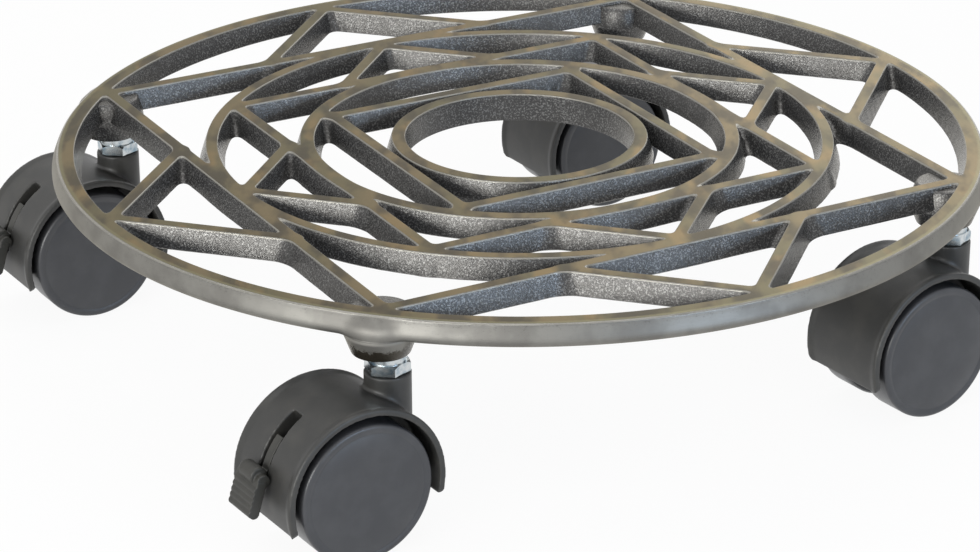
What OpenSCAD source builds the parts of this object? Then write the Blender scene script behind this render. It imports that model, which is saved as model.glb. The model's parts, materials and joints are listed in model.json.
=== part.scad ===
// Round plant caddy: an open cast plate on four twin-wheel swivel casters.
// The origin is the plate's centre on its top face. X runs to the right and Z runs up.
// Each caster is drawn with its swivel axis on Z and its wheels trailing along +X.

/* [Plate] */
// Radius of the rim's top face
plate_r = 148; // [140:1:160]
// Width of the rim's top face
rim_w = 5.3; // [4:0.1:7]
// How far the rim's side swells out past its top face
rim_swell = 2; // [1:0.1:3]
// Rounding of the rim's top edge
rim_round = 0.4; // [0.2:0.05:0.8]
// Height of the bevel at the rim's foot
rim_bevel = 1.4; // [0.8:0.1:2]
// Height of the upright band above the rim's bevel
rim_band = 1.1; // [0.5:0.1:2]
// How far the rim reaches below the bars
rim_drop = 0.2; // [0.1:0.05:0.5]
// Depth of the rim, the rings and the bars
bar_depth = 7; // [6:0.1:8]
// How much shallower the corner bars are
corner_rise = 0.2; // [0.1:0.05:0.6]
// How far a cast wall leans out from its top to its foot
draft = 2.06; // [1.6:0.01:2.4]
// Width of a straight bar's top face
bar_w = 4.1; // [3.5:0.1:5]
// Width of the outer ring's top face
outer_ring_w = 4; // [3:0.1:5]
// Width of the middle ring's top face
middle_ring_w = 4.8; // [4:0.1:6]
// Width of the inner ring's top face
inner_ring_w = 4.6; // [4:0.1:6]
// Depth of the inner ring, which hangs below the bars
inner_ring_depth = 9.5; // [8:0.1:12]
// Width of the groove between the inner ring and the inner square
groove_w = 1.45; // [1:0.05:2]
// Distance of the outer square's corners in from the rim's top face
outer_square_inset = 0.6; // [0:0.1:2]
// Distance of the outer ring's middle in from the outer square's
outer_ring_inset = 1.5; // [0.5:0.1:2]
// Distance of the inner square's corners in from the outer ring's middle
inner_square_inset = 1.8; // [0.5:0.1:2.5]
// Distance of the middle ring's middle in from the inner square's
middle_ring_inset = 0.3; // [0.1:0.1:2]
// Distance of the core square's corners in from the middle ring's middle
core_square_inset = 5; // [4:0.1:6]
// Angle of the pattern about the plate's centre
pattern_turn = 28.7; // [0:0.1:45]

/* [Bosses] */
// Distance of each caster's stem in from the edge of the rim's top face
stem_inset = 8; // [7:0.1:12]
// Radius of a boss where it leaves the rim
boss_r = 10.7; // [9.5:0.1:12]
// How much narrower a boss is at its ledge than at its widest
boss_lean = 1.7; // [1:0.1:3]
// Drop from the bars' foot to a boss's widest part
boss_skirt = 1; // [0.5:0.1:2]
// Radius of a boss at its foot
boss_foot_r = 8.7; // [8:0.1:9]
// Depth of the bosses below the top face
boss_depth = 14.2; // [12:0.1:18]
// Drop from the top face to the ledge on each boss
boss_ledge = 1.2; // [0.5:0.1:2]
// How far the bosses lie to one side of their stems, as the mould's halves met
boss_shift = -1.8; // [-2:0.1:2]

/* [Stems] */
// Radius of the threaded end
thread_r = 4; // [3:0.1:5]
// Length of thread held in the boss
thread_hold = 10; // [6:0.5:10.5]
// Radius of the round face above the hexagon
washer_r = 5.6; // [5:0.1:6]
// Height of the round face above the hexagon
washer_h = 2.8; // [1:0.1:4]
// Size of the hexagon across its flats
hex_flats = 12; // [11:0.5:13]
// Height of the hexagon
hex_h = 3.2; // [2:0.1:5]
// How far the bevel on the hexagon's corners stays outside its flats
hex_bevel = 0.2; // [0.1:0.05:0.6]
// Radius of the swivel pin below the hexagon
pin_r = 3.25; // [2.8:0.05:3.4]
// Length of the swivel pin
pin_l = 17; // [14:0.5:18]

/* [Grip rings] */
// Depth of the grip ring's foot below the neck's top
ring_drop = 5.2; // [4.8:0.1:8]
// Height of the grip ring
ring_h = 1.2; // [0.8:0.1:1.6]
// How far the grip ring bites into the swivel pin
ring_bite = 0.6; // [0.4:0.1:1]
// How far the grip ring stands out of the swivel pin
ring_proud = 0.7; // [0.4:0.1:1.2]
// Width of the split in the grip ring
ring_split = 1.5; // [0.5:0.1:2]

/* [Housings] */
// Radius of the neck round the swivel pin
neck_r = 7; // [6.5:0.1:8]
// Length of the neck, down to where it has sunk into the hood
neck_l = 20.5; // [20:0.5:23]
// Drop from the neck's top to the line round it
neck_line_drop = 2.6; // [2:0.1:3.5]
// Height of the line round the neck
neck_line_h = 0.4; // [0.2:0.1:0.8]
// Depth of the line round the neck
neck_line_depth = 0.3; // [0.1:0.1:0.6]
// Distance that the wheels trail behind the swivel axis
trail = 16.6; // [15.5:0.1:18]
// Height of the axle below the neck's top
axle_drop = 29; // [28.6:0.1:30]
// Height of the hood's centre above the axle
hood_lift = 0.3; // [0:0.1:0.9]
// Gap between the tread and the hood at the height of the hood's centre
hood_gap = 2.4; // [2:0.1:2.8]
// Thickness of the hood's wall
hood_t = 1.6; // [1.4:0.1:2]
// Height of the lip round each open side of the hood
lip_h = 0.5; // [0.3:0.1:1]
// Width of the lip's full height
lip_w = 1.3; // [0.8:0.1:2]
// Width of the slope behind the lip
lip_slope = 1.7; // [1:0.1:3]
// Rounding of the lip's outer edge
lip_round = 0.4; // [0.1:0.1:0.6]
// Width of the hood along the axle
hood_w = 33.2; // [33:0.1:38]
// Thickness of the web between the wheels
web_t = 8.8; // [8.4:0.1:10]
// Wall of the web round the space for a wheel's hub
hub_wall = 3; // [2:0.1:5]
// Angle that the hood's trailing side reaches below its centre
hood_back = 19; // [15:1:22]
// Rounding of the corners at the hood's trailing end
hood_corner_r = 3; // [1:0.5:5]
// Angle that the hood's leading side reaches below its centre
hood_front = 13; // [10:1:16]
// How far the bead on the hood's leading end stands out
bead_proud = 0.2; // [0.1:0.05:0.4]

/* [Wheels] */
// Radius of the tread
wheel_r = 21.6; // [20:0.1:22]
// Distance that a wheel's face stands inside the hood's open side
face_inset = 0.3; // [0.2:0.1:1]
// Radius of the wheel's outer edge
edge_r = 1; // [0.5:0.1:2]
// Thickness of the tread's wall
tread_t = 3; // [2:0.1:4]
// Thickness of the wheel's face
face_t = 3.2; // [2:0.1:4]
// Radius of the wheel's hub
hub_r = 6; // [5:0.1:8]
// Radius of the axle
axle_r = 2.5; // [2:0.1:3]
// Depth that the axle reaches into each wheel
axle_hold = 9; // [7:0.5:9.5]

/* [Brakes] */
// Width of the slot that a brake lever swings in
slot_w = 5; // [4.8:0.1:5.4]
// Distance of the slot's middle from the hood's
slot_shift = -1; // [-1.2:0.1:0]
// Thickness of the lever's blade, which fills part of the slot
blade_t = 3.3; // [2.5:0.1:4]
// Angle of the blade's lower side above the level, with the brake pressed
blade_foot = 5; // [3:0.5:8]
// Angle of the blade's upper side above the level
blade_top = 42; // [35:0.5:44]
// Angle that a brake lever lifts from its pressed place
brake_lift = 18; // [10:1:20]
// Angle of the arm that carries the pedal
arm_angle = 13.5; // [12:0.5:20]
// Height of that arm
arm_h = 4; // [3:0.1:5]
// Radius of the knuckle between the arm and the pedal
knuckle_r = 2.1; // [1.8:0.1:3]
// Width of the knuckle
knuckle_w = 11.5; // [10:0.5:16]
// Width of the pedal
pedal_w = 12.2; // [9:0.1:16]
// Distance of the pedal's middle from the hood's
pedal_shift = -1; // [-3:0.5:3]
// Length of the pedal, from the knuckle's middle to its foot's
pedal_l = 9.8; // [8:0.1:13]
// Thickness of the pedal
pedal_t = 3.1; // [2:0.1:4]
// Angle that the pedal leans out towards its foot
pedal_lean = 17; // [5:1:25]
// Number of ribs across the pedal
pedal_ribs = 5; // [3:1:7]
// Radius of a rib
rib_r = 1.2; // [0.8:0.1:1.5]
// How far a rib stands out of the pedal's face
rib_proud = 0.5; // [0.2:0.1:0.8]

/* [Placing] */
// Direction that the front caster rolls towards, from +X
front_turn = 32.5; // [0:0.5:360]
// Direction that the left caster rolls towards
left_turn = 31.5; // [0:0.5:360]
// Direction that the right caster rolls towards
right_turn = 34.5; // [0:0.5:360]
// Direction that the back caster rolls towards
back_turn = 32.5; // [0:0.5:360]
// Direction of a corner of the front, left and back hexagons
hex_turn = -10; // [-30:1:30]
// Direction of a corner of the right hexagon
right_hex_turn = -5; // [-30:1:30]

/* [Fits] */
// Radial play of a shaft in its bore
run_fit = 0.06; // [0.02:0.01:0.1]
// Gap between pieces that pass each other
gap = 0.3; // [0.2:0.05:0.5]
// Gap between the web and each wheel
wheel_gap = 0.4; // [0.3:0.05:0.8]

/* [Hidden] */
$fn = 96;

// The rim carries the outer squares' corners, and each ring touches the square around it.
outer_square = (plate_r - rim_w - outer_square_inset) / sqrt(2);
outer_ring_r = outer_square - outer_ring_inset;
inner_square = (outer_ring_r - inner_square_inset) / sqrt(2);
middle_ring_r = inner_square - middle_ring_inset;
core_square = (middle_ring_r - core_square_inset) / sqrt(2);
hole_r = core_square - bar_w / 2 - groove_w - inner_ring_w;

stem_circle = plate_r - stem_inset;
hex_top = -boss_depth - washer_h;
hex_foot = hex_top - hex_h;
neck_top = hex_foot - gap;
pin_foot = hex_foot - pin_l;
axle_z = neck_top - axle_drop;
hood_z = axle_z + hood_lift;
hood_r = wheel_r + hood_gap;
ring_z = neck_top - ring_drop;
ring_groove_r = pin_r - ring_bite;
ring_out_r = pin_r + ring_proud;
face_y = hood_w / 2 - face_inset;
web_y = web_t / 2;
wheel_in = web_y + wheel_gap;
axle_y = wheel_in + axle_hold;
hood_out = hood_r + hood_t;
blade_y = slot_shift + slot_w / 2 - gap - blade_t / 2;
slot_top = blade_top + brake_lift;
pedal_r = hood_out + hood_lift + gap;
knuckle_at = pedal_r + knuckle_r + run_fit;
arm_from = hood_r - hood_t;
rib_step = pedal_l / (pedal_ribs + 0.5);

// Overlap that joins two forms of one piece, and how far a cut runs past what it cuts.
join = 0.1;
past = 1;

steel = "silver";
plastic = "#2b2b2b";
wheel_black = "#1f2022";

// Turns a flat shape into a bar along X with its top at z = 0.
module bar(length, top_w, depth) {
    rotate([90, 0, 90])
        translate([0, 0, -length / 2])
            linear_extrude(length)
                polygon([[-top_w / 2, 0], [top_w / 2, 0], [top_w / 2 + draft, -depth],
                    [-top_w / 2 - draft, -depth]]);
}

// One side of a square whose sides lie at the given distance from the centre.
module side(distance, from, to, depth = bar_depth) {
    translate([(from + to) / 2, distance, 0])
        bar(to - from, bar_w, depth);
}

module square_bars(distance, turn) {
    for (k = [0:3])
        rotate(turn + 90 * k)
            side(distance, -distance - bar_w / 2, distance + bar_w / 2);
}

// The parts of a turned square that stand outside the square of the same size.
module corner_bars(distance, turn) {
    meet = distance * tan(22.5);
    for (k = [0:3])
        rotate(turn + 90 * k)
            for (flip = [0, 1])
                mirror([flip, 0, 0])
                    side(distance, meet, distance + bar_w / 2, bar_depth - corner_rise);
}

module ring(middle_r, top_w, depth) {
    rotate_extrude($fn = 180)
        polygon([[middle_r - top_w / 2, 0], [middle_r + top_w / 2, 0],
            [middle_r + top_w / 2 + draft, -depth], [middle_r - top_w / 2 - draft, -depth]]);
}

module rim() {
    inner = plate_r - rim_w;
    widest = plate_r + rim_swell;
    foot = -bar_depth - rim_drop;
    rotate_extrude($fn = 240)
        polygon([[inner, 0], [plate_r - rim_round, 0], [plate_r + rim_round, -rim_round],
            [widest, foot + rim_bevel + rim_band], [widest, foot + rim_bevel],
            [widest - rim_bevel, foot], [inner - draft, foot]]);
}

module inner_ring() {
    outer = hole_r + inner_ring_w;
    rotate_extrude($fn = 180)
        polygon([[hole_r, 0], [outer, 0], [outer + draft, -bar_depth],
            [outer + draft / 2, -inner_ring_depth], [hole_r, -inner_ring_depth]]);
}

module at_stems() {
    for (k = [0:3]) {
        angle = pattern_turn + 45 + 90 * k;
        translate([stem_circle * cos(angle), stem_circle * sin(angle), 0])
            children();
    }
}

module boss() {
    translate([boss_shift, 0, 0])
        rotate_extrude()
            polygon([[0, -boss_ledge], [boss_r - boss_lean, -boss_ledge], [boss_r, -bar_depth - boss_skirt],
                [boss_foot_r, -boss_depth], [0, -boss_depth]]);
}

module thread_hole() {
    translate([0, 0, -boss_depth - past])
        cylinder(r = thread_r + run_fit, h = thread_hold + gap + past);
}

module plate() {
    color("#6f6350")
        difference() {
            union() {
                rim();
                ring(outer_ring_r, outer_ring_w, bar_depth);
                ring(middle_ring_r, middle_ring_w, bar_depth);
                inner_ring();
                square_bars(outer_square, pattern_turn);
                corner_bars(outer_square, pattern_turn + 45);
                square_bars(inner_square, pattern_turn);
                corner_bars(inner_square, pattern_turn + 45);
                square_bars(core_square, pattern_turn);
                at_stems() boss();
            }
            at_stems() thread_hole();
        }
}

module hexagon() {
    bevel_r = hex_flats / 2 + hex_bevel;
    intersection() {
        translate([0, 0, hex_foot])
            cylinder(r = hex_flats / 2 / cos(30), h = hex_h, $fn = 6);
        translate([0, 0, hex_foot - past])
            cylinder(r1 = bevel_r + hex_h + past, r2 = bevel_r, h = hex_h + past);
    }
}

module stem() {
    color(steel)
        difference() {
            union() {
                translate([0, 0, -boss_depth - join])
                    cylinder(r = thread_r, h = thread_hold + join);
                translate([0, 0, hex_top - join])
                    cylinder(r = washer_r, h = washer_h + join);
                hexagon();
                translate([0, 0, pin_foot])
                    cylinder(r = pin_r, h = pin_l + join);
            }
            translate([0, 0, ring_z - gap / 2])
                difference() {
                    cylinder(r = pin_r + past, h = ring_h + gap);
                    translate([0, 0, -past])
                        cylinder(r = ring_groove_r, h = ring_h + gap + 2 * past);
                }
        }
}

// The split ring that snaps the swivel pin into the neck.
module grip_ring() {
    color(steel)
        translate([0, 0, ring_z])
            difference() {
                cylinder(r = ring_out_r, h = ring_h);
                translate([0, 0, -past])
                    cylinder(r = ring_groove_r + run_fit, h = ring_h + 2 * past);
                translate([0, -ring_split / 2, -past])
                    cube([ring_out_r + past, ring_split, ring_h + 2 * past]);
            }
}

// Lays a flat XZ shape along the axle, as thick as given.
module across(thick, shift = 0) {
    translate([0, shift + thick / 2, 0])
        rotate([90, 0, 0])
            linear_extrude(thick)
                children();
}

// A cylinder along the axle, centred between the wheels.
module round_across(r, length) {
    rotate([90, 0, 0])
        cylinder(r = r, h = length, center = true);
}

module hood_shell() {
    side_y = hood_w / 2;
    lip_r = hood_out + lip_h;
    slope_y = side_y - lip_w - lip_slope;
    rotate([90, 0, 0])
        rotate_extrude($fn = 120)
            polygon([[hood_r - past, -side_y], [lip_r - lip_round, -side_y], [lip_r, -side_y + lip_round],
                [lip_r, -side_y + lip_w], [hood_out, -slope_y], [hood_out, slope_y],
                [lip_r, side_y - lip_w], [lip_r, side_y - lip_round],
                [lip_r - lip_round, side_y], [hood_r - past, side_y]]);
}

// The open underside of the hood, between its trailing and leading ends.
module hood_mouth() {
    reach = 3 * hood_out;
    polygon([[0, 0], [reach * cos(hood_back), -reach * sin(hood_back)], [reach, -reach],
        [-reach, -reach], [-reach * cos(hood_front), -reach * sin(hood_front)]]);
}

// Rounds the two corners of the hood's trailing end, seen along its radius.
module hood_corners() {
    corner = hood_corner_r;
    for (s = [-1, 1])
        rotate([0, hood_back, 0])
            translate([hood_r / 2, s * (hood_w / 2 - corner), corner])
                rotate([90, 0, 90])
                    difference() {
                        translate([s > 0 ? 0 : -corner - past, -corner - past, 0])
                            cube([corner + past, corner + past, hood_out]);
                        translate([0, 0, -past])
                            cylinder(r = corner + join / 2, h = hood_out + 2 * past);
                    }
}

module wheel_space() {
    for (s = [-1, 1])
        translate([0, s * (web_y + hood_w / 2), 0])
            round_across(hood_r, hood_w);
}

module hood_body() {
    difference() {
        union() {
            translate([trail, 0, hood_z]) {
                difference() {
                    union() {
                        hood_shell();
                        round_across(hood_r + hood_t / 2, web_t);
                    }
                    across(hood_w + 2 * past)
                        hood_mouth();
                    hood_corners();
                }
                rotate([0, -hood_front, 0])
                    translate([-hood_r - hood_t / 2, 0, 0])
                        round_across(hood_t / 2 + bead_proud, hood_w - past);
            }
            translate([trail, 0, axle_z])
                round_across(hub_r + hub_wall, web_t);
            translate([0, 0, neck_top - neck_l])
                cylinder(r = neck_r, h = neck_l);
        }
        translate([trail, 0, hood_z])
            wheel_space();
    }
}

module neck_line() {
    translate([0, 0, neck_top - neck_line_drop - neck_line_h])
        difference() {
            cylinder(r = neck_r + past, h = neck_line_h);
            translate([0, 0, -past])
                cylinder(r = neck_r - neck_line_depth, h = neck_line_h + 2 * past);
        }
}

module housing(has_brake) {
    color(plastic)
        difference() {
            hood_body();
            translate([0, 0, pin_foot - 2 * gap])
                cylinder(r = pin_r + run_fit, h = neck_top - pin_foot + 2 * gap + past);
            translate([0, 0, ring_z - gap])
                cylinder(r = ring_out_r + gap, h = ring_h + 2 * gap);
            neck_line();
            translate([trail, 0, axle_z]) {
                round_across(axle_r + run_fit, hood_w);
                if (has_brake)
                    across(slot_w, slot_shift)
                        lever_space();
            }
        }
}

// A wedge about the axle, moved out by the margin on both of its sides.
module wedge(from, to, reach, margin = 0) {
    middle = (from + to) / 2;
    back = margin / sin((to - from) / 2);
    translate([-back * cos(middle), -back * sin(middle)])
        polygon([[0, 0], [reach * cos(from), reach * sin(from)],
            [reach * cos(middle), reach * sin(middle)], [reach * cos(to), reach * sin(to)]]);
}

// The slot and pocket that a brake lever swings in.
module lever_space() {
    circle(r = hub_r + gap);
    wedge(blade_foot, slot_top, 2 * hood_out, gap);
}

module axle() {
    color(steel)
        translate([trail, 0, axle_z])
            round_across(axle_r, 2 * axle_y);
}

module wheel(side_sign) {
    rounded_edge = [for (a = [90:-15:0])
        [wheel_r - edge_r + edge_r * cos(a), face_y - edge_r + edge_r * sin(a)]];
    color(wheel_black)
        translate([trail, 0, axle_z])
            rotate([-90 * side_sign, 0, 0])
                rotate_extrude($fn = 120)
                    polygon(concat([[0, face_y]], rounded_edge, [[wheel_r, wheel_in],
                        [wheel_r - tread_t, wheel_in], [wheel_r - tread_t, face_y - face_t],
                        [hub_r, face_y - face_t], [hub_r, wheel_in], [axle_r + run_fit, wheel_in],
                        [axle_r + run_fit, axle_y + gap], [0, axle_y + gap]]));
}

// The pedal hangs from the knuckle, with ribs across its outer face.
module pedal_outline() {
    translate([knuckle_r - pedal_t, -pedal_l])
        square([pedal_t, pedal_l]);
    translate([knuckle_r - pedal_t / 2, -pedal_l])
        circle(r = pedal_t / 2);
    for (k = [1:pedal_ribs])
        translate([knuckle_r - rib_r + rib_proud, -rib_step * (k + 0.5)])
            circle(r = rib_r);
}

module brake_blade() {
    across(blade_t, blade_y)
        intersection() {
            circle(r = hood_out, $fn = 180);
            wedge(blade_foot, blade_top, 2 * hood_out);
        }
}

module brake_lever() {
    color(plastic)
        translate([trail, 0, axle_z])
            difference() {
                union() {
                    across(blade_t, blade_y)
                        circle(r = hub_r);
                    brake_blade();
                    rotate([0, -arm_angle, 0])
                        translate([arm_from, blade_y - blade_t / 2, -arm_h / 2])
                            cube([knuckle_at - arm_from, blade_t, arm_h]);
                    translate([knuckle_at * cos(arm_angle), 0, knuckle_at * sin(arm_angle)]) {
                        across(knuckle_w, pedal_shift)
                            circle(r = knuckle_r);
                        rotate([0, -pedal_lean, 0])
                            across(pedal_w, pedal_shift)
                                pedal_outline();
                    }
                }
                round_across(axle_r + run_fit, hood_w);
            }
}

// Places a caster at a stem, turned so that it rolls towards the given direction.
module place(stem_angle, roll) {
    translate([stem_circle * cos(stem_angle), stem_circle * sin(stem_angle), 0])
        rotate(roll)
            children();
}

back_angle = pattern_turn + 45;
left_angle = back_angle + 90;
front_angle = back_angle + 180;
right_angle = back_angle + 270;

plate();

place(front_angle, hex_turn) stem();  // front_stem
place(front_angle, front_turn) grip_ring();  // front_grip_ring
place(front_angle, front_turn + 180) housing(true);  // front_housing
place(front_angle, front_turn + 180) axle();  // front_axle
place(front_angle, front_turn + 180) wheel(1);  // front_near_wheel
place(front_angle, front_turn + 180) wheel(-1);  // front_far_wheel
place(front_angle, front_turn + 180) brake_lever();  // front_brake_lever

place(left_angle, hex_turn) stem();  // left_stem
place(left_angle, left_turn) grip_ring();  // left_grip_ring
place(left_angle, left_turn + 180) housing(true);  // left_housing
place(left_angle, left_turn + 180) axle();  // left_axle
place(left_angle, left_turn + 180) wheel(1);  // left_near_wheel
place(left_angle, left_turn + 180) wheel(-1);  // left_far_wheel
place(left_angle, left_turn + 180) brake_lever();  // left_brake_lever

place(right_angle, right_hex_turn) stem();  // right_stem
place(right_angle, right_turn) grip_ring();  // right_grip_ring
place(right_angle, right_turn + 180) housing(false);  // right_housing
place(right_angle, right_turn + 180) axle();  // right_axle
place(right_angle, right_turn + 180) wheel(1);  // right_near_wheel
place(right_angle, right_turn + 180) wheel(-1);  // right_far_wheel

place(back_angle, hex_turn) stem();  // back_stem
place(back_angle, back_turn) grip_ring();  // back_grip_ring
place(back_angle, back_turn + 180) housing(false);  // back_housing
place(back_angle, back_turn + 180) axle();  // back_axle
place(back_angle, back_turn + 180) wheel(1);  // back_near_wheel
place(back_angle, back_turn + 180) wheel(-1);  // back_far_wheel
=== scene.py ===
import json
import math

import bpy
import numpy as np
from mathutils import Matrix, Vector, geometry, noise


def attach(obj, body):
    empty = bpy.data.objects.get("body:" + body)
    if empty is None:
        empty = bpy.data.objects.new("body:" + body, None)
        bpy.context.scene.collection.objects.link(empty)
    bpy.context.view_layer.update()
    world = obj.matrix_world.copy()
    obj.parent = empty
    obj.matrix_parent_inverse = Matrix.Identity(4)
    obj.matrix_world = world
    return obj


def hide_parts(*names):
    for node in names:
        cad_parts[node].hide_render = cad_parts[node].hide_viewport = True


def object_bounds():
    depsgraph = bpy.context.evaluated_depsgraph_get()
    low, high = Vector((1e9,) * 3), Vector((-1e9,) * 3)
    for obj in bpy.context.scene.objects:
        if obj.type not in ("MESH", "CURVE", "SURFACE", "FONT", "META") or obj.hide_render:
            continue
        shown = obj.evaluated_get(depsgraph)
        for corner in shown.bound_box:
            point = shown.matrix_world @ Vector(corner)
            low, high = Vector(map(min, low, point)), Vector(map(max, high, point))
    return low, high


mm = 0.001
white = (1.0, 1.0, 1.0)
pinhole = 0.01  # a turned shape is closed this far from its axis
casters = ("front", "left", "right", "back")
braked = ("front", "left")

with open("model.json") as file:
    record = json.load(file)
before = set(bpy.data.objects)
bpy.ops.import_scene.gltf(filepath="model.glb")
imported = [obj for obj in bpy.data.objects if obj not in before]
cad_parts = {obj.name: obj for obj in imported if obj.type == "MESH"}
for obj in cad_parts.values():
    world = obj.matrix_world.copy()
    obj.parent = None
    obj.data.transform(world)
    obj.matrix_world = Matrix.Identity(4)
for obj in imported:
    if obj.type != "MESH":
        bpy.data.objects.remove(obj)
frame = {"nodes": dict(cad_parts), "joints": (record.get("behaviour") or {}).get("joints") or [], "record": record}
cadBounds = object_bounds()
nodes = frame["nodes"]
joints = {joint["name"]: joint for joint in frame["joints"]}
bodies = frame["record"]["behaviour"]["bodies"]
bodyOf = {node: body for body, members in bodies.items() for node in members}
print("frame loaded:", len(nodes), "nodes")


def addThing(name, data):
    thing = bpy.data.objects.new(name, data)
    bpy.context.scene.collection.objects.link(thing)
    return thing


# the camera, solved from the circles and squares of the plate

shot = {
    "lens": 124.31,
    "sensor": 36,
    "place": (-9.66, -1017.96, 394.74),  # in millimetres
    "down": 23.597,  # degrees below level
    "roll": -0.1806,
    "near": 0.05,  # nearest and furthest that it sees, in metres
    "far": 20,
}


def makeCamera():
    camera = addThing("camera", bpy.data.cameras.new("camera"))
    camera.data.lens = shot["lens"]
    camera.data.sensor_width = shot["sensor"]
    camera.data.clip_start = shot["near"]
    camera.data.clip_end = shot["far"]
    camera.location = Vector(shot["place"]) * mm
    tilt = Matrix.Rotation(math.radians(90 - shot["down"]), 3, "X")
    roll = Matrix.Rotation(math.radians(shot["roll"]), 3, "Z")
    camera.rotation_euler = (tilt @ roll).to_euler()
    bpy.context.scene.camera = camera


makeCamera()

# shader maths: a socket that takes part in sums, and one way to add any other node


class Wire:
    def __init__(self, tree, socket):
        self.tree = tree
        self.socket = socket

    def sum(self, operation, *others):
        return addNode(self.tree, "Math", {"operation": operation}, [self, *others])

    def __add__(self, other):
        return self.sum("ADD", other)

    __radd__ = __add__

    def __mul__(self, other):
        return self.sum("MULTIPLY", other)

    __rmul__ = __mul__

    def __sub__(self, other):
        return self.sum("SUBTRACT", other)

    def __rsub__(self, other):
        return addNode(self.tree, "Math", {"operation": "SUBTRACT"}, [other, self])

    def __pow__(self, other):
        return self.sum("POWER", other)

    def step(self, low, high):
        # 0 below low, 1 above high and a soft rise between them
        settings = {"interpolation_type": "SMOOTHSTEP"}
        values = {"Value": self, "From Min": low, "From Max": high}
        return addNode(self.tree, "MapRange", settings, values)

    def part(self, name):
        return Wire(self.tree, self.socket.node.outputs[name])


def addNode(tree, kind, settings=None, values=None, out=0):
    node = tree.nodes.new("ShaderNode" + kind)
    for name, setting in (settings or {}).items():
        setattr(node, name, setting)
    pairs = values.items() if isinstance(values, dict) else enumerate(values or [])
    for name, value in pairs:
        if isinstance(value, Wire):
            tree.links.new(value.socket, node.inputs[name])
        elif isinstance(value, tuple) and len(value) == 3 and node.inputs[name].type == "RGBA":
            node.inputs[name].default_value = (*value, 1)
        else:
            node.inputs[name].default_value = value
    return Wire(tree, node.outputs[out])


def mixColour(tree, amount, first, second):
    # a Mix node's colours are its inputs 6 and 7 and its output 2
    values = {"Factor": amount, 6: first, 7: second}
    return addNode(tree, "Mix", {"data_type": "RGBA"}, values, out=2)


def grain(tree, place, scale, detail, rough, squeeze=None):
    if squeeze:
        place = addNode(tree, "VectorMath", {"operation": "MULTIPLY"}, [place, squeeze])
    values = {"Vector": place, "Scale": scale, "Detail": detail, "Roughness": rough}
    return addNode(tree, "TexNoise", None, values)


def layered(tree, look, grains, base, layers):
    # lays colours over a base, each where its grain is strong
    colour = look[base]
    for name, low, high, share, over in layers:
        colour = mixColour(tree, grains[name].step(low, high) * share, colour, look[over])
    return colour


def startMaterial(name):
    material = bpy.data.materials.new(name)
    material.use_nodes = True
    tree = material.node_tree
    place = addNode(tree, "TexCoord", out="Object")
    values = {"Vector": place, "Scale": 1 / mm}
    inMillimetres = addNode(tree, "VectorMath", {"operation": "SCALE"}, values)
    return material, tree, tree.nodes["Principled BSDF"], inMillimetres


def plug(tree, shader, **values):
    for name, value in values.items():
        socket = shader.inputs[name.replace("_", " ")]
        if isinstance(value, Wire):
            tree.links.new(value.socket, socket)
        elif isinstance(value, tuple):
            socket.default_value = (*value, 1)
        else:
            socket.default_value = value


def bump(tree, height, strength, distance):
    values = {"Height": height, "Strength": strength, "Distance": distance * mm}
    return addNode(tree, "Bump", None, values)


# cast iron of the plate

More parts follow.
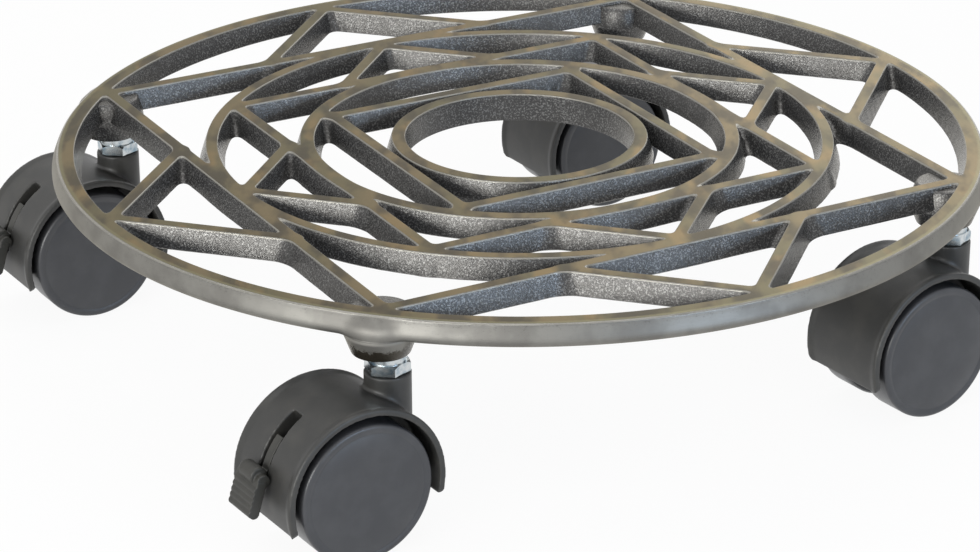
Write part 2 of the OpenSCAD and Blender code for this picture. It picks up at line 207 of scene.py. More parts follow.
ironLook = {
    "bronze": (0.140, 0.104, 0.050),  # lacquered top faces
    "olive": (0.088, 0.078, 0.038),
    "gold": (0.200, 0.132, 0.052),
    # painted dark: darker reflections on the top faces, and on the lower boss its cast tone with painted shade
    "darkReflectionShadeAndCast": (0.026, 0.022, 0.016),
    "band": (0.170, 0.158, 0.090),  # beside the rim's outer edge
    "paintedEdgeHighlight": (0.300, 0.288, 0.255),  # painted highlight on the rounded top edges
    "wall": (0.044, 0.044, 0.046),  # rough sand-cast walls
    # painted glints: pale specks where the rough walls would sparkle in the lamps
    "paintedWallGlint": (0.165, 0.165, 0.164),
    "side": (0.205, 0.200, 0.184),  # the rim's ground side
    "sideDark": (0.110, 0.105, 0.098),
    "pit": (0.030, 0.028, 0.026),
    "glance": (1.0, 0.95, 0.85),  # tint of what it mirrors at a low angle
    "grains": {  # scale, detail, roughness and squeeze
        "clouds": (0.035, 2, 0.5, (1, 0.5, 1)),
        "patches": (0.1, 3, 0.5, (1, 0.45, 1)),
        "blotches": (0.07, 2, 0.5, (1, 0.5, 1)),
        "mottle": (0.6, 4, 0.65),
        "speck": (1.8, 3, 0.65),
        "fine": (4.2, 2, 0.6),
    },
    "topLayers": [  # grain, where it sets in, where it is full, its share and its colour
        ("clouds", 0.36, 0.62, 1, "olive"),
        ("blotches", 0.52, 0.64, 0.7, "gold"),
        # the dark patches and mottle are painted darker reflections of the satin top faces
        ("patches", 0.42, 0.62, 0.85, "darkReflectionShadeAndCast"),
        ("mottle", 0.55, 0.8, 0.15, "darkReflectionShadeAndCast"),
    ],
    "wallLayers": [
        # the first layer paints glints on the walls as pale specks
        ("speck", 0.5, 0.62, 1, "paintedWallGlint"),
        ("patches", 0.5, 0.7, 0.5, "wall"),
    ],
    "sideLayers": [
        ("patches", 0.42, 0.66, 0.5, "sideDark"),
        ("mottle", 0.62, 0.78, 0.35, "sideDark"),
    ],
    "topHeights": (-0.09, -0.02),  # heights from the top face and distances from the middle
    "edgeHeights": (-0.62, -0.38),
    "bossHeights": (-7.6, -7.2),
    "bossReach": (143, 147),
    "sideReach": (148.2, 148.6),
    "bandReach": (146.8, 147.7),
    "bandSway": 1.2,
    "bandShare": 0.7,
    "greyHeights": (-7.6, -6.2),  # the boss is ground down to here, raggedly; below it the dark is its rough cast tone with painted shade where it tapers inward
    "greySway": {"mottle": 4.5, "speck": 2.5},
    "pitFine": (0.57, 0.66),
    "pitMottle": (0.46, 0.6),
    "pitHeights": (-2.4, -1.0),  # fewer pits below, more above
    "pitShares": (0.3, 0.7),
    "pitDepth": 0.85,
    "paintedEdgeHighlightShares": (0.3, 0.8),
    "metal": 0.4,
    "groundMetal": 0.4,
    "rough": 0.16,
    "groundRough": 0.28,
    "topSmoother": 0.12,
    "patchRough": 0.1,
    "relief": {"speck": 0.65, "fine": 0.35},
    "grinding": 0.97,  # how much of the relief it takes away
    "waves": {"patches": 0.3, "mottle": 0.02},
    "reliefDepth": 0.14,
}


def ironMaterial():
    look = ironLook
    material, tree, shader, at = startMaterial("castIron")
    parts = addNode(tree, "SeparateXYZ", None, [at])
    x, y, z = parts, parts.part("Y"), parts.part("Z")
    radius = (x * x + y * y) ** 0.5
    grains = {name: grain(tree, at, *how) for name, how in look["grains"].items()}
    patches, mottle, speck, fine = (grains[n] for n in ("patches", "mottle", "speck", "fine"))

    top = z.step(*look["topHeights"])
    edge = z.step(*look["edgeHeights"]) * (1 - top)
    onBoss = (1 - z.step(*look["bossHeights"])) * radius.step(*look["bossReach"])
    sway = look["greySway"]
    ragged = z + mottle * sway["mottle"] + speck * sway["speck"]
    bossGrey = onBoss * ragged.step(*look["greyHeights"])
    side = radius.step(*look["sideReach"]) * (1 - onBoss)
    ground = top + (side + bossGrey) * (1 - top)

    topColour = layered(tree, look, grains, "bronze", look["topLayers"])
    band = (radius + mottle * look["bandSway"]).step(*look["bandReach"])
    topColour = mixColour(tree, band * look["bandShare"], topColour, look["band"])
    wallColour = layered(tree, look, grains, "wall", look["wallLayers"])
    sideColour = layered(tree, look, grains, "side", look["sideLayers"])
    least, more = look["pitShares"]
    pits = fine.step(*look["pitFine"]) * mottle.step(*look["pitMottle"])
    pits = pits * (least + z.step(*look["pitHeights"]) * more)
    sideColour = mixColour(tree, pits * look["pitDepth"], sideColour, look["pit"])
    # below the grey the boss is painted dark: its cast tone and painted shade on the inward taper
    bossColour = mixColour(tree, bossGrey, look["darkReflectionShadeAndCast"], look["side"])

    colour = mixColour(tree, side, wallColour, sideColour)
    colour = mixColour(tree, onBoss, colour, bossColour)
    # the rounded top edges get a painted highlight, patchy along their length
    least, more = look["paintedEdgeHighlightShares"]
    colour = mixColour(tree, edge * (least + patches * more), colour, look["paintedEdgeHighlight"])
    colour = mixColour(tree, top, colour, topColour)

    rough = look["rough"] + ground * (look["groundRough"] - top * look["topSmoother"])
    relief = speck * look["relief"]["speck"] + fine * look["relief"]["fine"]
    waves = patches * look["waves"]["patches"] + mottle * look["waves"]["mottle"]
    height = relief * (1 - ground * look["grinding"]) + waves
    plug(
        tree,
        shader,
        Base_Color=colour,
        Metallic=look["metal"] + ground * look["groundMetal"],
        Roughness=rough + patches * look["patchRough"],
        Specular_IOR_Level=0.7,
        Specular_Tint=look["glance"],
        Normal=bump(tree, height, 1.0, look["reliefDepth"]),
    )
    return material


# zinc of the stems, grip rings and axles

zincLook = {
    "bright": (0.60, 0.63, 0.64),
    "blue": (0.22, 0.31, 0.38),
    "cloud": (0.3, 2, 0.55),
    "cloudRange": (0.35, 0.75),
    "scratch": (3.0, 2, 0.6, (1, 1, 0.15)),
    "rough": 0.14,
    "cloudRough": 0.12,
    "bump": (0.08, 0.02),  # strength and depth
}


def zincMaterial():
    look = zincLook
    material, tree, shader, at = startMaterial("brightZinc")
    cloud = grain(tree, at, *look["cloud"])
    scratch = grain(tree, at, *look["scratch"])
    plug(
        tree,
        shader,
        Base_Color=mixColour(tree, cloud.step(*look["cloudRange"]), look["bright"], look["blue"]),
        Metallic=1.0,
        Roughness=look["rough"] + cloud * look["cloudRough"],
        Normal=bump(tree, scratch, *look["bump"]),
    )
    return material


# moulded plastics: skin is the scale of the fine grain, depth how deep it is

plasticLooks = {
    "hoodPlastic": {
        "dark": (0.024, 0.024, 0.023),
        "pale": (0.036, 0.035, 0.032),
        "rough": 0.4,
        "skin": 3.2,
        "depth": 0.05,
    },
    "leverPlastic": {
        "dark": (0.019, 0.019, 0.016),
        "pale": (0.029, 0.028, 0.024),
        "rough": 0.45,
        "skin": 2.6,
        "depth": 0.06,
    },
    "wheelPlastic": {
        "dark": (0.038, 0.039, 0.043),
        "pale": (0.048, 0.049, 0.053),
        "rough": 0.29,
        "skin": 4.0,
        "depth": 0.02,
    },
}
plasticGrain = {
    "cloud": (0.12, 3, 0.55),
    "cloudRange": (0.35, 0.7),
    "skin": (2, 0.6),  # detail and roughness
    "skinRough": 0.1,
    "skinStrength": 0.35,
    "dust": (1.1, 4, 0.75),
    "dustRange": (0.66, 0.8),
    "dustShare": 0.25,
    "dustColour": (0.2, 0.2, 0.19),
}


def plasticMaterial(name):
    look, how = plasticLooks[name], plasticGrain
    material, tree, shader, at = startMaterial(name)
    cloud = grain(tree, at, *how["cloud"])
    skin = grain(tree, at, look["skin"], *how["skin"])
    dust = grain(tree, at, *how["dust"]).step(*how["dustRange"]) * how["dustShare"]
    colour = mixColour(tree, cloud.step(*how["cloudRange"]), look["dark"], look["pale"])
    plug(
        tree,
        shader,
        Base_Color=mixColour(tree, dust, colour, how["dustColour"]),
        Roughness=look["rough"] + skin * how["skinRough"],
        Normal=bump(tree, skin, how["skinStrength"], look["depth"]),
    )
    return material


iron = ironMaterial()
zinc = zincMaterial()
plastics = {name: plasticMaterial(name) for name in plasticLooks}
print("materials made")


class Shell:
    # gathers points and faces for one mesh
    def __init__(self):
        self.points = []
        self.faces = []

    def row(self, points):
        first = len(self.points)
        self.points.extend([tuple(p) for p in points])
        return list(range(first, first + len(points)))

    def skin(self, rows, looped=False):
        # joins closed rows of like counts, from the top one down, and the last to the first
        for upper, lower in zip(rows, rows[1:] + rows[:1] if looped else rows[1:]):
            count = len(lower)
            for k in range(count):
                n = (k + 1) % count
                self.faces.append((lower[k], lower[n], upper[n], upper[k]))

    def stitch(self, upper, lower):
        # joins two closed rows of unlike counts, each step taking the shorter way across
        high = np.array([self.points[i] for i in upper])
        low = np.array([self.points[i] for i in lower])
        shift = int(((low - high[0]) ** 2).sum(1).argmin())
        lower = lower[shift:] + lower[:shift]
        low = np.roll(low, -shift, 0)
        i = j = 0
        while i < len(upper) or j < len(lower):
            nextI, nextJ = (i + 1) % len(upper), (j + 1) % len(lower)
            a, b = i % len(upper), j % len(lower)
            across = ((high[nextI] - low[b]) ** 2).sum() <= ((high[a] - low[nextJ]) ** 2).sum()
            if j == len(lower) or (i < len(upper) and across):
                self.faces.append((upper[a], lower[b], upper[nextI]))
                i += 1
            else:
                self.faces.append((upper[a], lower[b], lower[nextJ]))
                j += 1

    def lathe(self, profile, centre, steps, looped=False):
        # turns (radius, height) points about an upright axis, and closes the two ends
        rows = []
        angles = np.arange(steps) / steps * 2 * math.pi
        for radius, height in profile:
            east = centre[0] + radius * np.cos(angles)
            north = centre[1] + radius * np.sin(angles)
            rows.append(self.row([(x * mm, y * mm, height * mm) for x, y in zip(east, north)]))
        self.skin(rows, looped)
        if not looped:
            self.faces += [tuple(rows[0]), tuple(rows[-1][::-1])]

    def mesh(self, name, smoothAngle=35):
        data = bpy.data.meshes.new(name)
        data.from_pydata(self.points, [], self.faces)
        data.update()
        data.shade_smooth()
        data.set_sharp_from_angle(angle=math.radians(smoothAngle))
        return addThing(name, data)


# the plate: its plan is a field of distances to the bars and rings, melted together at the
# corners, and each edge of the plan is followed down the leaning walls

plate = {
    "rimEdge": 148.0,  # sizes in millimetres
    "rimWidth": 5.3,
    "barWidth": 4.1,
    "ringWidths": (4.0, 4.8),
    "rimGap": 0.6,  # from the rim in to the outer square's corners, and so on inwards
    "outerRingGap": 1.5,
    "innerGap": 1.8,
    "middleRingGap": 0.3,
    "coreGap": 5,
    "coreOverrun": 1.2,
    "depth": 7.0,
    "draft": 2.06,  # how far the walls lean out towards their feet
    "turn": 28.7,
    "melt": 2.1,  # corner rounding at the top, and how it grows down the leaning walls
    "meltGrowth": 0.8,
    "reach": 152,  # of the grid that the plan is traced on, and its squares
    "grid": 0.6,
    "spacing": 0.95,  # between the points along an edge
    "flattest": 0.05,  # keeps a point from leaping where the field is flat
    "skin": 0.07,
    "sand": [(0.35, 0.9), (1.1, 0.6)],  # scale and share of each noise in the skin
    "footRound": 0.35,
    "rimSteps": 900,
    "wallSteps": 6,
    "edge": [(-0.5, 0.0), (-0.28, -0.05), (-0.1, -0.17), (0.0, -0.38)],  # out and down
    "rimWall": [
        (-0.6, 0), (-0.25, -0.06), (0.1, -0.22), (0.4, -0.5), (0.95, -1.7), (1.45, -2.9),
        (1.85, -4.0), (2.0, -4.9), (1.98, -5.6), (1.6, -6.3), (1.1, -6.8), (0.7, -7.0),
    ],
}


def plateLines():
    # half widths of the nested squares, each one held in the ring around it
    outer = (plate["rimEdge"] - plate["rimWidth"] - plate["rimGap"]) / math.sqrt(2)
    outerRing = outer - plate["outerRingGap"]
    inner = (outerRing - plate["innerGap"]) / math.sqrt(2)
    middleRing = inner - plate["middleRingGap"]
    core = (middleRing - plate["coreGap"]) / math.sqrt(2)
    coreEnd = core + plate["coreOverrun"]
    lines = []

    def side(distance, turn, start, end):
        angle = math.radians(turn)
        normal = np.array([math.cos(angle), math.sin(angle)])
        along = np.array([-normal[1], normal[0]])
        lines.append((normal * distance + along * start, normal * distance + along * end))

    for k in range(4):
        turn = plate["turn"] + 90 * k
        side(outer, turn, -outer, outer)
        side(inner, turn, -inner, inner)
        side(core, turn, -coreEnd, coreEnd)
        for distance in (outer, inner):
            meet = distance * math.tan(math.radians(22.5))
            side(distance, turn + 45, meet, distance)
            side(distance, turn + 45, -distance, -meet)
    rings = [(outerRing, plate["ringWidths"][0] / 2), (middleRing, plate["ringWidths"][1] / 2)]
    rings.append((plate["rimEdge"] - plate["rimWidth"] / 2, plate["rimWidth"] / 2))
    return lines, rings, core


def planField(points, lean):
    # distance to the metal in the plan, below zero inside it, once its walls have leant out
    lines, rings, _ = plateLines()
    melt = plate["melt"] + plate["meltGrowth"] * max(0, lean)
    field = np.full(len(points), 99.0)  # far from all metal
    away = np.hypot(points[:, 0], points[:, 1])

    def join(distance):
        both = np.hypot(np.maximum(melt - field, 0), np.maximum(melt - distance, 0))
        return np.maximum(melt, np.minimum(field, distance)) - both

    for start, end in lines:
        along = end - start
        share = np.clip(((points - start) @ along) / (along @ along), 0, 1)
        off = points - start - share[:, None] * along
        field = join(np.hypot(off[:, 0], off[:, 1]) - plate["barWidth"] / 2 - lean)
    for middle, half in rings:
        field = join(np.abs(away - middle) - half - lean)
    return field


def slope(points, lean):
    h = 0.01
    east = planField(points + (h, 0), lean) - planField(points - (h, 0), lean)
    north = planField(points + (0, h), lean) - planField(points - (0, h), lean)
    return np.stack([east, north], 1) / (2 * h)


def settle(points, lean, times=3):
    # brings points on to the zero line of the field
    for _ in range(times):
        off = planField(points, lean)
        way = slope(points, lean)
        points = points - way * (off / np.maximum((way**2).sum(1), plate["flattest"]))[:, None]
    return points


def evenly(loop, spacing):
    closed = np.vstack([loop, loop[:1]])
    lengths = np.hypot(*np.diff(closed, axis=0).T)
    walked = np.concatenate([[0], np.cumsum(lengths)])
    count = max(12, int(round(walked[-1] / spacing)))
    stops = np.linspace(0, walked[-1], count, endpoint=False)
    return np.stack([np.interp(stops, walked, closed[:, k]) for k in (0, 1)], 1)


def traceEdges(lean):
    # walks the zero line of the field through the squares of a grid, the metal on its left
    size = plate["grid"]
    count = int(plate["reach"] / size)
    line = np.arange(-count, count + 1) * size
    gridX, gridY = np.meshgrid(line, line, indexing="ij")
    values = planField(np.stack([gridX.ravel(), gridY.ravel()], 1), lean).reshape(gridX.shape)
    inside = values < 0
    code = inside[:-1, :-1] + 2 * inside[1:, :-1] + 4 * inside[1:, 1:] + 8 * inside[:-1, 1:]
    south, east, north, west = range(4)
    turns = {  # which corners are metal, and so by which sides the line comes and goes
        1: [(south, west)], 2: [(east, south)], 3: [(east, west)], 4: [(north, east)],
        5: [(south, west), (north, east)], 6: [(north, south)], 7: [(north, west)],
        8: [(west, north)], 9: [(south, north)], 10: [(east, south), (west, north)],
        11: [(east, north)], 12: [(west, east)], 13: [(south, east)], 14: [(west, south)],
    }

    def gate(i, j, side):
        return ((i, j, 0), (i + 1, j, 1), (i, j + 1, 0), (i, j, 1))[side]

    def crossing(key):
        i, j, upright = key
        a = values[i, j]
        b = values[i, j + 1] if upright else values[i + 1, j]
        ahead = a / (a - b) * size
        return (line[i] + (0 if upright else ahead), line[j] + (ahead if upright else 0))

    following = {}
    for i, j in zip(*np.nonzero((code > 0) & (code < 15))):
        for first, second in turns[int(code[i, j])]:
            following[gate(i, j, first)] = gate(i, j, second)
    loops = []
    while following:
        start, key = following.popitem()
        loop = [start]
        while key != start:
            loop.append(key)
            key = following.pop(key)
        loops.append(np.array([crossing(k) for k in loop]))
    loops.sort(key=len)  # the longest is the rim's outer edge, which has its own wall
    return [settle(evenly(loop, plate["spacing"]), lean) for loop in loops[:-1]]


def sandCast(points, lean, z):
    # pushes wall points in and out, as packed sand leaves them
    moved = []
    for (x, y), (a, b) in zip(points, slope(points, lean)):
        at = Vector((x, y, z))
        push = sum(noise.noise(at * scale) * share for scale, share in plate["sand"])
        push *= plate["skin"]
        moved.append((x + a * push, y + b * push))
    return np.array(moved)


def fillFlat(shell, rows, z, facing):
    # a flat face between closed rows of points, open where the plan has its cells
    index = [i for row in rows for i in row]
    flat = [Vector(shell.points[i][:2]) for i in index]
    rings, first = [], 0
    for row in rows:
        ring = list(range(first, first + len(row)))
        area = sum(flat[i].cross(flat[j]) for i, j in zip(ring, ring[1:] + ring[:1]))
        rings.append(ring if area > 0 else ring[::-1])
        first += len(row)
    points, _, faces, origins, _, inside = geometry.delaunay_2d_cdt(flat, [], rings, 1, 1e-8)
    fresh = [i for i, old in enumerate(origins) if not old]  # where two edges cross
    added = {i: shell.row([(*points[i], z * mm)])[0] for i in fresh}
    for face, around in zip(faces, inside):
        if len(around) != 1:
            continue
        corners = [added[i] if i in added else index[origins[i][0]] for i in face]
        a, b, c = (Vector(shell.points[i]) for i in corners)
        if (b - a).cross(c - a).z * facing < 0:
            corners.reverse()
        shell.faces.append(tuple(corners))


boss = {
    "widest": 11.0,  # radii, and heights from the plate's top face
    "foot": 8.8,
    "lean": 1.7,  # how much narrower it is at the top
    "curve": 1.4,
    "ledge": -1.2,
    "waist": -8.0,
    "depth": -14.2,
    "topEdge": [(-0.7, 0), (-0.25, -0.12)],  # out and down from the ledge
    "levels": (-1.7, -3.2, -4.8, -6.4),
    "turnIn": (-0.15, -0.6),  # from the waist
    "coneSteps": 4,
    "footEdge": [(0, 0.15), (-0.12, 0)],
    "steps": 72,
    "shift": -1.8,  # from the stem, to the left of the photograph's view
    "melt": 3.6,  # how softly it leaves the rim's side
    "tuck": 2.2,  # how much narrower it starts there, and over what height it widens
    "tuckHeight": 3,
    "start": -0.1,  # above this the rim is a plain circle
    "free": -6.6,  # below this it stands clear of the rim's side
    "inset": 0.2,
}


def bossCentre(name):
    at = joints[name + "_swivel"]["pos_m"]
    return at[0] / mm + boss["shift"], at[1] / mm


def bossRadius(z):
    share = min(1, max(0, (z - boss["waist"]) / (boss["ledge"] - boss["waist"])))
    return boss["widest"] - boss["lean"] * share ** boss["curve"]


def rimReach(radius, angle, z):
    # how far out the rim's side comes, swelling over each boss
    along = Vector((math.cos(angle), math.sin(angle)))
    tucked = max(0, 1 + (z - boss["ledge"]) / boss["tuckHeight"]) ** 2
    wide = bossRadius(z) - boss["tuck"] * tucked
    for name in casters:
        centre = Vector(bossCentre(name))
        aside = abs(along.cross(centre))
        if along.dot(centre) > 0 and aside < wide and z < boss["start"]:
            far = along.dot(centre) + math.sqrt(wide**2 - aside**2)
            soft = max(0, boss["melt"] - abs(far - radius)) ** 2 / (4 * boss["melt"])
            radius = max(far, radius) + soft
    return radius


def makePlate():
    shell = Shell()
    depth, draft, foot = plate["depth"], plate["draft"], plate["footRound"]
    angles = np.arange(plate["rimSteps"]) / plate["rimSteps"] * 2 * math.pi
    rows = []
    for out, z in plate["rimWall"]:
        reach = [(rimReach(plate["rimEdge"] + out, a, z), a) for a in angles]
        points = [(r * math.cos(a) * mm, r * math.sin(a) * mm, z * mm) for r, a in reach]
        rows.append(shell.row(points))
    shell.skin(rows)
    tops, feet = [rows[0]], [rows[-1]]

    edgeFoot = -plate["edge"][-1][1]
    levels = list(plate["edge"])
    for k in range(1, plate["wallSteps"] + 1):
        share = k / plate["wallSteps"]
        levels.append((draft * share, -edgeFoot - (depth - edgeFoot - foot) * share))
    levels.append((draft - foot, -depth))
    above = None
    for lean, z in levels:
        loops = traceEdges(lean)
        shown = [sandCast(loop, lean, z) for loop in loops] if lean > 0 else loops
        rows = [shell.row([(x * mm, y * mm, z * mm) for x, y in loop]) for loop in shown]
        middles = np.array([loop.mean(0) for loop in loops])
        if above:
            for row, middle in above:
                nearest = int(np.hypot(*(middles - middle).T).argmin())
                shell.stitch(row, rows[nearest])
        else:
            tops += rows
        above = list(zip(rows, middles))
    feet += [row for row, _ in above]
    print("plan traced:", len(feet), "edges")
    fillFlat(shell, tops, 0, 1)
    fillFlat(shell, feet, -depth, -1)
    return shell


innerRing = {
    "gap": 1.45,  # from the innermost square's bars
    "width": 4.6,
    "lip": 0.5,  # rounding of the hole's top edge
    "outside": [  # out and down, from the ring's outer edge and then from its hole
        (-0.5, 0), (-0.25, -0.05), (-0.08, -0.18), (0, -0.4), (0.6, -2.2), (1.3, -4.6),
        (2.0, -6.9), (1.7, -8.6), (1.3, -9.3), (0.7, -9.5),
    ],
    "inside": [
        (0.6, -9.5), (0.15, -9.3), (0, -8.9), (0, -6.5), (0, -4), (0, -1.8), (0.03, -0.4),
        (0.12, -0.18), (0.28, -0.05),
    ],
    "steps": 300,
}


def addInnerRing(shell):
    _, _, core = plateLines()
    outer = core - plate["barWidth"] / 2 - innerRing["gap"]
    hole = outer - innerRing["width"]
    profile = [(hole + innerRing["lip"], 0)]
    profile += [(outer + out, z) for out, z in innerRing["outside"]]
    profile += [(hole + out, z) for out, z in innerRing["inside"]]
    shell.lathe(profile, (0, 0), innerRing["steps"], looped=True)


def addBoss(shell, centre):
    wide, foot, ledge, waist, depth = (
        boss[k] for k in ("widest", "foot", "ledge", "waist", "depth")
    )
    profile = [(pinhole, ledge)]
    profile += [(wide - boss["lean"] + out, ledge + down) for out, down in boss["topEdge"]]
    profile += [(bossRadius(z), z) for z in (*boss["levels"], waist)]
    profile.append((wide + boss["turnIn"][0], waist + boss["turnIn"][1]))
    for k in range(1, boss["coneSteps"]):
        share = k / boss["coneSteps"]
        profile.append((wide + (foot - wide) * share, waist + (depth - waist) * share))
    profile += [(foot + out, depth + up) for out, up in boss["footEdge"]]
    profile.append((pinhole, depth))
    first = len(shell.points)
    shell.lathe(profile, centre, boss["steps"])

    outs, heights = zip(*plate["rimWall"])
    for k in range(first, len(shell.points)):  # what stands out of the rim's side goes back in
        x, y, z = (v / mm for v in shell.points[k])
        if z > boss["free"]:
            side = plate["rimEdge"] + np.interp(-z, [-h for h in heights], outs)
            reach = rimReach(side, math.atan2(y, x), z) - boss["inset"]
            held = min(1, reach / math.hypot(x, y))
            shell.points[k] = (x * held * mm, y * held * mm, z * mm)


def dressPlate():
    shell = makePlate()
    addInnerRing(shell)
    for name in casters:
        addBoss(shell, bossCentre(name))
    thing = shell.mesh("castPlate")
    thing.modifiers.new("evenShade", "WEIGHTED_NORMAL").keep_sharp = True
    thing.data.materials.append(iron)
    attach(thing, "plate")
    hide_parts("plate")
    print("plate made:", len(shell.faces), "faces")


dressPlate()

# moulded plastic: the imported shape, with its edges run together as a mould leaves them.
# voxel is the fineness in millimetres, soften and blend are rounds of smoothing, keep is the
# share of faces that stays

moulded = {
    "housing": {"voxel": 0.42, "soften": 4, "keep": 0.35, "blend": 40},
    "lever": {"voxel": 0.22, "soften": 2, "keep": 0.35, "blend": 0},
}
neckRoot = {
    "radius": 7.4,  # from the swivel's axis, and heights from the neck's top
    "reach": 4.0,
    "top": -3.6,
    "foot": -15.0,
    "fade": 2,  # towards its top and foot, and towards the neck's front
    "fadeFront": 3,
    "flare": [(-3.6, 6.9), (-5.6, 7.5), (-7.2, 8.5), (-8.6, 9.9), (-9.8, 11.6), (-11.4, 12.6)],
    "inside": 5.6,
    "steps": 64,
}


def bake(thing, name):
    ready = thing.evaluated_get(bpy.context.evaluated_depsgraph_get())
    data = bpy.data.meshes.new_from_object(ready)
    data.name = name
    bpy.data.objects.remove(thing)
    return data


def smooth(thing, name, times, group=""):
    soften = thing.modifiers.new(name, "SMOOTH")
    soften.factor = 0.5
    soften.iterations = times
    soften.vertex_group = group


def markRoot(thing, pivot, axle):
    # the points where the neck runs out into the hood
    group = thing.vertex_groups.new(name="root")
    way = (axle - pivot).to_2d().normalized()
    reach, top, foot, fade = (neckRoot[k] for k in ("reach", "top", "foot", "fade"))
    for point in thing.data.vertices:
        away = (point.co - pivot) / mm
        off = math.hypot(away.x, away.y) - neckRoot["radius"]
        behind = way.dot(away.to_2d())
        if foot < away.z < top and abs(off) < 2 * reach and behind > 0:
            ends = (top - away.z) / fade, (away.z - foot) / fade, behind / neckRoot["fadeFront"]
            weight = min(1, *ends) * math.exp(-((off / reach) ** 2))
            group.add([point.index], weight, "REPLACE")


def addFlare(shell, pivot, axle):
    # the neck runs out into the hood on the axle's side and stays straight in front
    way = Vector((axle.x - pivot.x, axle.y - pivot.y)).normalized()
    inside, steps, flare = (neckRoot[k] for k in ("inside", "steps", "flare"))
    straight = flare[0][1]
    turns = [2 * math.pi * k / steps for k in range(steps)]
    rows = []
    for height, radius in flare + [(flare[-1][0], inside), (flare[0][0], inside)]:
        z = pivot.z + height * mm
        ring = [Vector((math.cos(a), math.sin(a))) * min(radius, straight) for a in turns]
        stretch = max(0, radius / straight - 1)
        ring = [point + way * max(0, point.dot(way)) * stretch for point in ring]
        rows.append(shell.row([(pivot.x + x * mm, pivot.y + y * mm, z) for x, y in ring]))
    shell.skin(rows, looped=True)


knuckle = {
    "radius": 2.7,
    "width": 7.6,
    "out": 28.95,  # from the axle
    "angle": 15.5,  # above level
    "shift": -1.1,
    "round": 0.5,
    "bend": 0.3,  # share of the rounding at its middle
    "steps": 48,
}


def addKnuckle(shell, pivot, axle, across):
    # the rounded bar above the pedal's ribs
    out = Vector((axle.x - pivot.x, axle.y - pivot.y, 0)).normalized()
    half, radius, edge = knuckle["width"] / 2, knuckle["radius"], knuckle["round"]
    bend = edge * knuckle["bend"]
    profile = [(radius - edge, half), (radius - bend, half - bend), (radius, half - edge)]
    profile += [(r, -z) for r, z in profile[::-1]]
    first = len(shell.points)
    shell.lathe(profile, (0, 0), knuckle["steps"])
    lift = math.radians(knuckle["angle"])
    place = axle + (out * math.cos(lift) + Vector((0, 0, math.sin(lift)))) * knuckle["out"] * mm
    place += across * knuckle["shift"] * mm
    turn = Matrix.Translation(place) @ across.to_track_quat("Z", "Y").to_matrix().to_4x4()
    for k in range(first, len(shell.points)):
        shell.points[k] = tuple(turn @ Vector(shell.points[k]))


def mouldFrom(node, name, how, material):
    shell = Shell()
    shell.row([point.co for point in nodes[node].data.vertices])
    shell.faces += [tuple(face.vertices) for face in nodes[node].data.polygons]
    caster = node.split("_")[0]
    spin = joints[caster + "_near_wheel_spin"]
    pivot, axle = Vector(joints[caster + "_swivel"]["pos_m"]), Vector(spin["pos_m"])
    if how["blend"]:
        addFlare(shell, pivot, axle)
    else:
        addKnuckle(shell, pivot, axle, Vector(spin["axis"]).normalized())
    source = shell.mesh(name + "Source")
    remesh = source.modifiers.new("remesh", "REMESH")
    remesh.mode = "VOXEL"
    remesh.voxel_size = how["voxel"] * mm
    source = addThing(name + "Rough", bake(source, name))
    if how["blend"]:
        markRoot(source, pivot, axle)
        smooth(source, "blend", how["blend"], "root")
    smooth(source, "soften", how["soften"])
    source.modifiers.new("thin", "DECIMATE").ratio = how["keep"]
    data = bake(source, name)
    data.shade_smooth()
    data.materials.clear()
    data.materials.append(material)
    thing = addThing(name, data)
    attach(thing, bodyOf[node])
    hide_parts(node)


for name in casters:
    node, plastic = name + "_housing", plastics["hoodPlastic"]
    mouldFrom(node, name + "Hood", moulded["housing"], plastic)
for name in braked:
    node, plastic = name + "_brake_lever", plastics["leverPlastic"]
    mouldFrom(node, name + "Lever", moulded["lever"], plastic)
print("housings and levers made")

# disc wheels, turned about their axles

wheel = {
    "face": [  # radius, and depth below the face: it is dished, with a faint ring pressed in
        (pinhole, 0.16), (9.45, 0.128), (18.4, 0.064), (18.65, 0.192), (19.15, 0.192),
        (19.5, 0.02),
    ],
    "edge": 1.2,  # rounding of the outer edge
    "edgeSteps": 6,
    "shoulder": 4,  # from each end of the tread
    "innerEdge": (0.5, 0.6),
    "tread": 3,  # thickness
    "wall": 3.2,
    "hub": 6,
    "bore": 2.6,
    "boreEnd": 2.2,  # below the face
    "steps": 144,
    "smooth": 40,
}


def wheelProfile(radius, face, inside):
    edge, hub, bore, shoulder = (wheel[k] for k in ("edge", "hub", "bore", "shoulder"))
    profile = [(r, face - depth) for r, depth in wheel["face"]]
    for k in range(wheel["edgeSteps"] + 1):
        angle = math.radians(90 - 90 * k / wheel["edgeSteps"])
        out, up = edge * math.cos(angle), edge * math.sin(angle)
        profile.append((radius - edge + out, face - edge + up))
    narrow, low = wheel["innerEdge"]
    profile += [(radius, face - shoulder), (radius, inside + shoulder)]
    profile += [(radius, inside + low), (radius - narrow, inside)]
    rimIn, wallIn, boreEnd = radius - wheel["tread"], face - wheel["wall"], face - wheel["boreEnd"]
    profile += [(rimIn, inside), (rimIn, wallIn), (hub, wallIn), (hub, inside)]
    return profile + [(bore, inside), (bore, boreEnd), (pinhole, boreEnd)]


def makeWheel(name, node):
    joint = joints[node + "_spin"]
    axis = Vector(joint["axis"]).normalized()
    middle = Vector(joint["pos_m"])
    sign = 1 if "near" in node else -1
    points = [(point.co - middle) / mm for point in nodes[node].data.vertices]
    along = [point.dot(axis) * sign for point in points]
    radius = max((point - axis * point.dot(axis)).length for point in points)
    shell = Shell()
    shell.lathe(wheelProfile(radius, max(along), min(along)), (0, 0), wheel["steps"])
    thing = shell.mesh(name, wheel["smooth"])
    turn = (axis * sign).to_track_quat("Z", "Y").to_matrix().to_4x4()
    thing.data.transform(Matrix.Translation(middle) @ turn)
    thing.data.materials.append(plastics["wheelPlastic"])
    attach(thing, bodyOf[node])
    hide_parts(node)


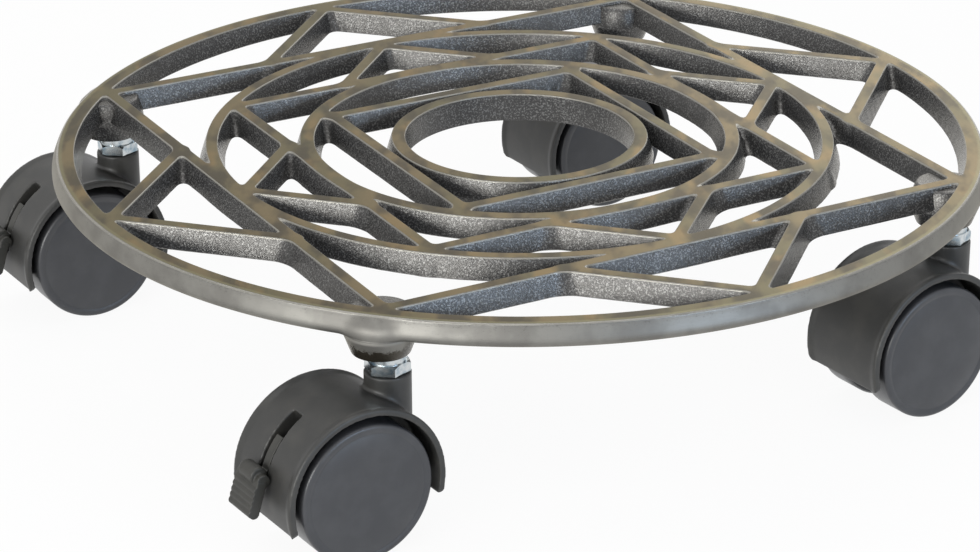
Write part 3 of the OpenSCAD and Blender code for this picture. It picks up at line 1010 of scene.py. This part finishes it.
for name in casters:
    makeWheel(name + "NearWheel", name + "_near_wheel")
    makeWheel(name + "FarWheel", name + "_far_wheel")
print("wheels made")

# stems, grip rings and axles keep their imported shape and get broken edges

steel = {
    "parts": ("stem", "grip_ring", "axle"),
    "edge": 0.15,
    "rounds": 2,
    "sharp": 30,  # degrees at which an edge is broken
}


def dressSteel():
    for node, thing in nodes.items():
        if node.endswith(steel["parts"]):
            thing.data.materials.clear()
            thing.data.materials.append(zinc)
            soft = thing.modifiers.new("edges", "BEVEL")
            soft.width = steel["edge"] * mm
            soft.segments = steel["rounds"]
            soft.limit_method = "ANGLE"
            soft.angle_limit = math.radians(steel["sharp"])


dressSteel()
print("steel dressed")

# floor, light and backdrop

studio = {
    "floor": (0.93, 0.93, 0.93),
    "floorReach": 6,  # metres to each side
    "floorGlow": 0.93,  # share of plain white in the floor, as the camera sees it
    "world": 0.5,
    "lamps": {  # place, width and height in metres, power and colour
        "key": ((-0.70, -1.14, 0.27), (0.9, 0.32), 11.5, (1, 1, 0.98)),
        "window": ((0.92, -1.0, 0.25), (0.5, 0.3), 5.0, (0.55, 0.74, 1)),
        "overhead": ((-0.2, 0.0, 1.3), (1.2, 1.2), 5.4, white),
        "rear": ((0.5, 1.2, 0.6), (0.9, 0.9), 3.4, white),
    },
}


def seenDirectly(tree):
    # 1 for what the camera sees, also when it sees it mirrored or through something
    rays = addNode(tree, "LightPath")
    return rays + rays.part("Is Glossy Ray") + rays.part("Is Transmission Ray")


def makeFloor():
    low, reach = cadBounds[0].z, studio["floorReach"]
    shell = Shell()
    corners = [(-reach, -reach), (reach, -reach), (reach, reach), (-reach, reach)]
    shell.faces.append(tuple(shell.row([(x, y, low) for x, y in corners])))
    floor = shell.mesh("floor")
    material = bpy.data.materials.new("floorPaint")
    material.use_nodes = True
    tree = material.node_tree
    paint = addNode(tree, "BsdfDiffuse", None, {"Color": studio["floor"]})
    glow = addNode(tree, "Emission", None, {"Color": white, "Strength": 1.0})
    seen = seenDirectly(tree) * studio["floorGlow"]
    both = addNode(tree, "MixShader", None, [seen, paint, glow])
    tree.links.new(both.socket, tree.nodes["Material Output"].inputs["Surface"])
    floor.data.materials.append(material)


def makeWorld():
    world = bpy.data.worlds.new("studioWorld")
    bpy.context.scene.world = world
    world.use_nodes = True
    tree = world.node_tree
    light = addNode(tree, "Background", None, {"Color": white, "Strength": studio["world"]})
    sky = addNode(tree, "Background", None, {"Color": white, "Strength": 1.0})
    both = addNode(tree, "MixShader", None, [seenDirectly(tree), light, sky])
    tree.links.new(both.socket, tree.nodes["World Output"].inputs["Surface"])


def makeLamps():
    for name, (place, size, power, colour) in studio["lamps"].items():
        data = bpy.data.lights.new(name, "AREA")
        data.shape = "RECTANGLE"
        data.size, data.size_y = size
        data.energy = power
        data.color = colour
        lamp = addThing(name, data)
        lamp.location = place
        lamp.rotation_euler = (Vector() - Vector(place)).to_track_quat("-Z", "Y").to_euler()


makeFloor()
makeWorld()
makeLamps()
bpy.context.scene.view_settings.view_transform = "Standard"
print("studio made")

bpy.context.view_layer.update()
